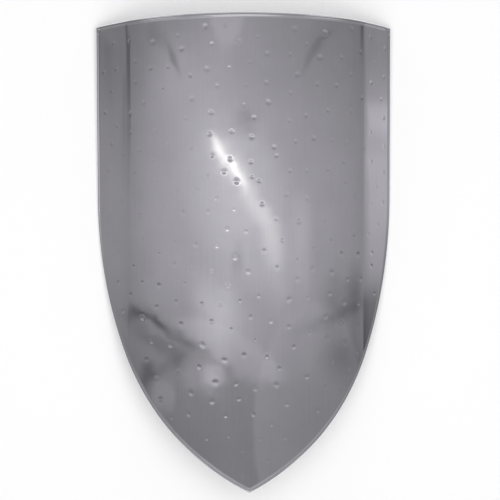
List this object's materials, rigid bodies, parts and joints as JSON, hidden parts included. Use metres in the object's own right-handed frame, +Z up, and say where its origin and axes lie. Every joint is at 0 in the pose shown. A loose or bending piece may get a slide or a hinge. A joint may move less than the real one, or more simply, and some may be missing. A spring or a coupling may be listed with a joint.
{
  "type": "heater shield",
  "caption": "Heater shield of dented polished sheet steel, bent to a curve, with a rolled edge all round, lying hollow side down.",
  "frame": {"origin": "middle of the footprint, on the surface that the shield lies on", "axes": "+Z up, out of the bulging front; +Y towards the shield's top edge, -Y towards its tip; +X across, to the right as the front is seen from above with the top edge away from you"},
  "size_m": [0.47, 0.7394, 0.1397],
  "materials": {
    "polished_steel": "hand-polished sheet steel, a soft mirror with fine scratches, smudges and hammered dents"
  },
  "bodies": {
    "root": {"shield_plate": "polished_steel"}
  },
  "joints": []
}
